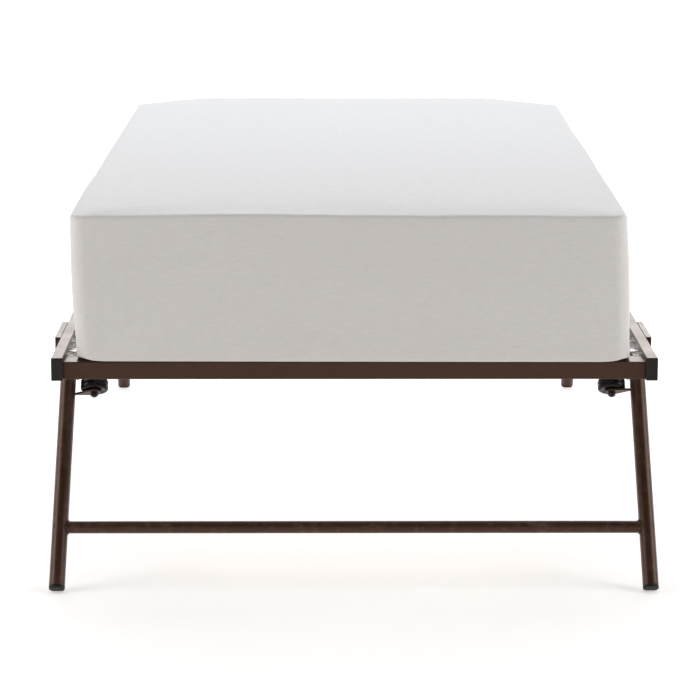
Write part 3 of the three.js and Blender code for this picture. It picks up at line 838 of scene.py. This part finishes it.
def crossbar(end):
    """A tube that ends in saddles cut to the legs, with a weld bead round each."""
    node = f"leg_crossbar_{end}"
    body = f"{end}_leg_frame"
    low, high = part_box(node)
    centre = (low + high) / 2
    radius = (high.z - low.z) / 2
    half_length = (high.x - low.x) / 2 + BAR_SPARE
    profile = [
        (radius - TUBE_WALL, -half_length),
        (radius, -half_length),
        (radius, half_length),
        (radius - TUBE_WALL, half_length),
    ]
    mesh = revolve(node, profile, centre, (1, 0, 0), closed=True)
    bar = place(f"{node}_finish", mesh, body, "bronze_paint", node)
    cut_start, cut_end = SADDLE_CUT
    for side_name, side in SIDES.items():
        foot, line, _, leg_radius = leg_line(end, side_name)
        reach = leg_radius + FIT_GAP
        cutter = [(0, cut_start), (reach, cut_start), (reach, cut_end), (0, cut_end)]
        carve(bar, revolve("leg_space", cutter, foot, line))
        path = saddle_path(centre, radius, side, foot, line, leg_radius)
        bead(f"crossbar_bead_{end}_{side_name}", path, body)


for end in ENDS:
    for side_name in SIDES:
        leg_tube(end, side_name)
        foot_glide(end, side_name)
        wheel(end, side_name)
        softened(f"wheel_bolt_{end}_{side_name}", SHEET_EDGE)
        pivot_rivet(end, side_name)
    crossbar(end)


# ---- Mattress ----

def outline_side(start, end, corner, first_angle, count):
    """count points along one side of a rounded rectangle, from the middle of one corner arc to the next."""
    half = CORNER_STEPS // 2
    points = []
    for k in range(count):
        if k < half:
            centre, angle = start, first_angle + 45 * k / half
        elif k > count - half:
            centre, angle = end, first_angle + 45 + 45 * (k - count + half) / half
        else:
            centre, angle = start.lerp(end, (k - half) / (count - 2 * half)), first_angle + 45
        turn = math.radians(angle)
        points.append(centre + Vector((math.cos(turn), math.sin(turn))) * corner)
    return points


def outline_ring(half_width, half_length, corner, inset):
    """The four sides of a rounded rectangle, drawn in by inset."""
    a, b = half_width - corner, half_length - corner
    centres = [Vector(c) for c in ((-a, -b), (a, -b), (a, b), (-a, b))]
    ring = []
    for k, count in enumerate((ACROSS_STEPS, LENGTH_STEPS, ACROSS_STEPS, LENGTH_STEPS)):
        ring += outline_side(centres[k], centres[(k + 1) % 4], corner - inset, 225 + 90 * k, count)
    return ring


def block_profile(height):
    """(inset, height) steps up the wall, from the underside's edge to the top's edge."""
    steps = []
    for k in range(BOTTOM_STEPS + 1):
        turn = math.radians(90 * k / BOTTOM_STEPS)
        steps.append((BOTTOM_FILLET * (1 - math.sin(turn)), BOTTOM_FILLET * (1 - math.cos(turn))))
    wall = height - BOTTOM_FILLET - TOP_FILLET
    for k in range(1, WALL_STEPS):
        steps.append((0, BOTTOM_FILLET + wall * k / WALL_STEPS))
    for k in range(TOP_STEPS + 1):
        turn = math.radians(90 * k / TOP_STEPS)
        steps.append((TOP_FILLET * (1 - math.cos(turn)), height - TOP_FILLET * (1 - math.sin(turn))))
    return steps


def cap(ring, vertices, upward):
    """The quads that close a ring, as a grid blended from its four sides. New points join vertices."""
    count = len(ring)
    south = [ring[i] for i in range(ACROSS_STEPS + 1)]
    east = [ring[ACROSS_STEPS + j] for j in range(LENGTH_STEPS + 1)]
    north = [ring[2 * ACROSS_STEPS + LENGTH_STEPS - i] for i in range(ACROSS_STEPS + 1)]
    west = [ring[(count - j) % count] for j in range(LENGTH_STEPS + 1)]
    grid = {}
    for i in range(ACROSS_STEPS + 1):
        grid[i, 0] = south[i]
        grid[i, LENGTH_STEPS] = north[i]
    for j in range(LENGTH_STEPS + 1):
        grid[0, j] = west[j]
        grid[ACROSS_STEPS, j] = east[j]
    for i in range(1, ACROSS_STEPS):
        for j in range(1, LENGTH_STEPS):
            u, v = i / ACROSS_STEPS, j / LENGTH_STEPS
            across = vertices[west[j]].lerp(vertices[east[j]], u)
            along = vertices[south[i]].lerp(vertices[north[i]], v)
            first = vertices[south[0]].lerp(vertices[south[-1]], u)
            last = vertices[north[0]].lerp(vertices[north[-1]], u)
            grid[i, j] = len(vertices)
            vertices.append(across + along - first.lerp(last, v))
    faces = []
    for i in range(ACROSS_STEPS):
        for j in range(LENGTH_STEPS):
            face = (grid[i, j], grid[i + 1, j], grid[i + 1, j + 1], grid[i, j + 1])
            faces.append(face if upward else face[::-1])
    return faces


def foam_block(width, length, height):
    """A closed block of quads with rounded corners and tight top and bottom edges."""
    vertices, faces = [], []
    count = 2 * (ACROSS_STEPS + LENGTH_STEPS)
    rings = []
    for inset, z in block_profile(height):
        rings.append(list(range(len(vertices), len(vertices) + count)))
        outline = outline_ring(width / 2, length / 2, MATTRESS_CORNER, inset)
        vertices += [Vector((point.x, point.y, z)) for point in outline]
    for low, high in zip(rings, rings[1:]):
        for k in range(count):
            after = (k + 1) % count
            faces.append((low[k], low[after], high[after], high[k]))
    faces += cap(rings[0], vertices, upward=False)
    faces += cap(rings[-1], vertices, upward=True)
    return vertices, faces


def swell(piece, bulge):
    """Inflates the cover with cloth under pressure, and moves each point by at most bulge."""
    before = [v.co.copy() for v in piece.data.vertices]
    middle = Vector((0, 0, max(v.z for v in before) / 2))
    cloth = piece.modifiers.new("Cloth", "CLOTH")
    cloth.settings.quality = 5
    cloth.settings.tension_stiffness = 25
    cloth.settings.compression_stiffness = 25
    cloth.settings.shear_stiffness = 15
    cloth.settings.bending_stiffness = 2
    cloth.settings.use_pressure = True
    cloth.settings.uniform_pressure_force = 4
    cloth.settings.effector_weights.gravity = 0
    cloth.collision_settings.use_collision = False
    cloth.point_cache.frame_start = 1
    cloth.point_cache.frame_end = SWELL_FRAMES
    for step in range(1, SWELL_FRAMES + 1):
        bpy.context.scene.frame_set(step)
    graph = bpy.context.evaluated_depsgraph_get()
    after = [v.co.copy() for v in piece.evaluated_get(graph).data.vertices]
    piece.modifiers.remove(cloth)
    bpy.context.scene.frame_set(1)
    for vertex, start, end in zip(piece.data.vertices, before, after):
        move = end - start
        # Soft cap: short moves stay, long ones level off at the bulge
        length = move.length
        if length > 1e-9:
            move *= bulge * math.tanh(length / bulge) / length
        # The foam inside holds the cover out, so no point is drawn in
        for k in range(3):
            if move[k] * (start[k] - middle[k]) < 0:
                move[k] = 0
        vertex.co = start + move


def ease(t):
    """A smooth step from 0 to 1 as t goes from 0 to 1."""
    t = min(1.0, max(0.0, t))
    return t * t * (3 - 2 * t)


def corner_softness(p, side, half_width, half_length):
    """1 at a top corner of the head end, falling to 0 at HEAD_CORNER_REACH."""
    away = Vector((p.x - side * half_width, p.y - half_length)).length
    return ease(1 - away / HEAD_CORNER_REACH)


def puckers(p, half_width, half_length, level):
    """The height of the small folds that fan out of the top corners."""
    height = 0.0
    for side_x in (-1, 1):
        for side_y in (-1, 1):
            offset = Vector((p.x - side_x * half_width, p.y - side_y * half_length))
            fan = math.atan2(offset.y * side_y, offset.x * side_x)
            depth = ease(1 - offset.length / PUCKER_REACH) * ease(offset.length / PUCKER_CLEAR)
            raised = ease((level - PUCKER_START) / (1 - PUCKER_START))
            height += PUCKER_DEPTH * depth * raised * math.sin(fan * PUCKER_COUNT)
    return height


def settle(p, half_width, half_length, height):
    """How far a point of the used mattress has moved from the plain block."""
    move = Vector()
    level = p.z / height
    # The head end's corners have gone soft: lower and drawn in
    for side in (-1, 1):
        soft = corner_softness(p, side, half_width, half_length) * level ** 2
        move.z -= HEAD_CORNER_SAG[side] * soft
        move.x -= side * HEAD_CORNER_DRAW[0] * soft
        move.y -= HEAD_CORNER_DRAW[1] * soft
    # All four corners of the underside curl up off the deck
    corner = Vector((half_width - abs(p.x), half_length - abs(p.y))).length
    move.z += UNDER_CORNER_LIFT * ease(1 - corner / UNDER_CORNER_REACH) * (1 - level) ** 2
    # The top is filled a little fuller towards the head end
    foot_rise, head_rise = TOP_RISE
    move.z += level * (foot_rise + (head_rise - foot_rise) * (0.5 + p.y / (2 * half_length)))
    # The cover is cut a little full at the top edges, so they wander
    edge = min(half_width - abs(p.x), half_length - abs(p.y))
    rim = ease(1 - edge / EDGE_REACH) * ease((level - EDGE_START) / (1 - EDGE_START))
    wander = noise.noise(Vector((p.x * EDGE_WANDER_SCALE, p.y * EDGE_WANDER_SCALE, 4.0)))
    ripple = noise.noise(Vector((p.x * EDGE_RIPPLE_SCALE, p.y * EDGE_RIPPLE_SCALE, 9.0)))
    move.z += rim * (EDGE_WANDER * wander + EDGE_RIPPLE * ripple)
    move.z += puckers(p, half_width, half_length, level)
    # The whole block leans a little to the left
    move.x -= MATTRESS_LEAN * (level - 0.5)
    # The walls lean out a little at mid height and in towards the deck
    tuck = WALL_TUCK * ease(1 - level / WALL_TUCK_TOP)
    swing = math.sin(math.pi * level) * WALL_BULGE - tuck
    across, along, up = WALL_DIMPLE_SCALE
    dimple = noise.noise(Vector((p.x * across, p.y * along, p.z * up + 20))) * WALL_DIMPLE
    wall_x = ease(1 - (half_width - abs(p.x)) / WALL_REACH)
    wall_y = ease(1 - (half_length - abs(p.y)) / WALL_REACH)
    move.x += math.copysign(wall_x * (swing + dimple), p.x)
    move.y += math.copysign(wall_y * (swing * WALL_END_SHARE + dimple), p.y)
    return move


def cover_mesh(width, length, height):
    """The finished cover round its own middle: swelled, then settled."""
    mesh = mesh_from("mattress_foam", *foam_block(width, length, height))
    pad = bpy.data.objects.new("pad", mesh)
    bpy.context.scene.collection.objects.link(pad)
    swell(pad, COVER_BULGE)
    bpy.data.objects.remove(pad)
    for vertex in mesh.vertices:
        vertex.co += settle(vertex.co, width / 2, length / 2, height)
        vertex.co.z = min(max(vertex.co.z, DECK_CLEARANCE), height + TOP_CROWN)
    return mesh


mattress_low, mattress_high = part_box("mattress")
mattress_middle = (mattress_low + mattress_high) / 2
mesh = cover_mesh(MATTRESS_WIDTH + 2 * COVER_EASE, MATTRESS_LENGTH, mattress_high.z - mattress_low.z)
on_deck = Matrix.Translation((mattress_middle.x + COVER_DRIFT, mattress_middle.y, mattress_low.z))
mesh.transform(on_deck @ Matrix.Rotation(MATTRESS_TURN, 4, "Z"))
foam = place("mattress_foam", mesh, "mattress", "cover_fabric", "mattress")
sharp_edges = foam.data.attributes.get("sharp_edge")
if sharp_edges:
    foam.data.attributes.remove(sharp_edges)
finer = foam.modifiers.new("Finer", "SUBSURF")
finer.levels = 1
finer.render_levels = 1


# ---- Floor, light and camera ----

def glowing(name, glow, span):
    """Pale matt paint that glows as a lit sweep does: glow goes from its first value to its second as Y
    goes over span."""
    material, tree, shader = new_material(name, Roughness=0.9)
    shader.inputs["Specular IOR Level"].default_value = 0.0
    shader.inputs["Emission Color"].default_value = GLOW_TINT
    vector = object_coordinates(tree)
    tone = ramp(tree, noise_texture(tree, vector, 0.6, 2), [(0.3, (0.80,) * 3), (0.7, (0.83,) * 3)])
    tree.links.new(tone, shader.inputs["Base Color"])
    split = add_node(tree, "ShaderNodeSeparateXYZ")
    tree.links.new(vector, split.inputs["Vector"])
    strength = value_range(tree, split.outputs["Y"], *glow, *span)
    tree.links.new(strength, shader.inputs["Emission Strength"])
    return material


def make_studio():
    """A round pale floor inside a round pale wall, brighter behind the bed than in front of it."""
    floor_shape, wall_shape = bmesh.new(), bmesh.new()
    bmesh.ops.create_circle(floor_shape, cap_ends=True, segments=STUDIO_STEPS, radius=STUDIO_RADIUS)
    bmesh.ops.create_cone(wall_shape, segments=STUDIO_STEPS, radius1=STUDIO_RADIUS, radius2=STUDIO_RADIUS,
                          depth=STUDIO_WALL, matrix=Matrix.Translation((0, 0, STUDIO_WALL / 2)))
    bmesh.ops.reverse_faces(wall_shape, faces=wall_shape.faces)
    paints = {
        "floor": glowing("floor", FLOOR_GLOW, FLOOR_GLOW_SPAN),
        "wall": glowing("wall", WALL_GLOW, WALL_GLOW_SPAN),
    }
    for name, shape in (("floor", floor_shape), ("wall", wall_shape)):
        mesh = bpy.data.meshes.new(name)
        shape.to_mesh(mesh)
        shape.free()
        mesh.materials.append(paints[name])
        piece = bpy.data.objects.new(name, mesh)
        piece.location.z = -FLOOR_DROP
        bpy.context.scene.collection.objects.link(piece)


def soft_box(name, location, target, size, watts, colour=(1, 1, 1)):
    """A rectangular area light that faces target."""
    light = bpy.data.lights.new(name, "AREA")
    light.shape = "RECTANGLE"
    light.size, light.size_y = size
    light.energy = watts
    light.color = colour
    lamp = bpy.data.objects.new(name, light)
    lamp.location = location
    facing = Vector(target) - Vector(location)
    lamp.rotation_euler = facing.to_track_quat("-Z", "Y").to_euler()
    bpy.context.scene.collection.objects.link(lamp)


make_studio()
world = bpy.data.worlds.new("studio")
bpy.context.scene.world = world
world.use_nodes = True
world.node_tree.nodes["Background"].inputs["Color"].default_value = WORLD_COLOUR
world.node_tree.nodes["Background"].inputs["Strength"].default_value = WORLD_STRENGTH
soft_box("overhead", OVERHEAD_PLACE, OVERHEAD_TARGET, OVERHEAD_SIZE, OVERHEAD_WATTS, OVERHEAD_COLOUR)
for side in SIDES.values():
    panel_place = (side * PANEL_PLACE[0], *PANEL_PLACE[1:])
    panel_target = (side * PANEL_TARGET[0], *PANEL_TARGET[1:])
    soft_box("side_panel", panel_place, panel_target, PANEL_SIZE, PANEL_WATTS)

camera_data = bpy.data.cameras.new("camera")
camera_data.lens = CAMERA_LENS
camera_data.sensor_width = SENSOR_WIDTH
camera_data.clip_end = 200
camera = bpy.data.objects.new("camera", camera_data)
camera.location = CAMERA_PLACE
aim = Euler((CAMERA_TILT, 0, CAMERA_PAN)).to_matrix() @ Matrix.Rotation(CAMERA_ROLL, 3, "Z")
camera.rotation_euler = aim.to_euler()
bpy.context.scene.collection.objects.link(camera)
bpy.context.scene.camera = camera
bpy.context.scene.view_settings.view_transform = "Standard"
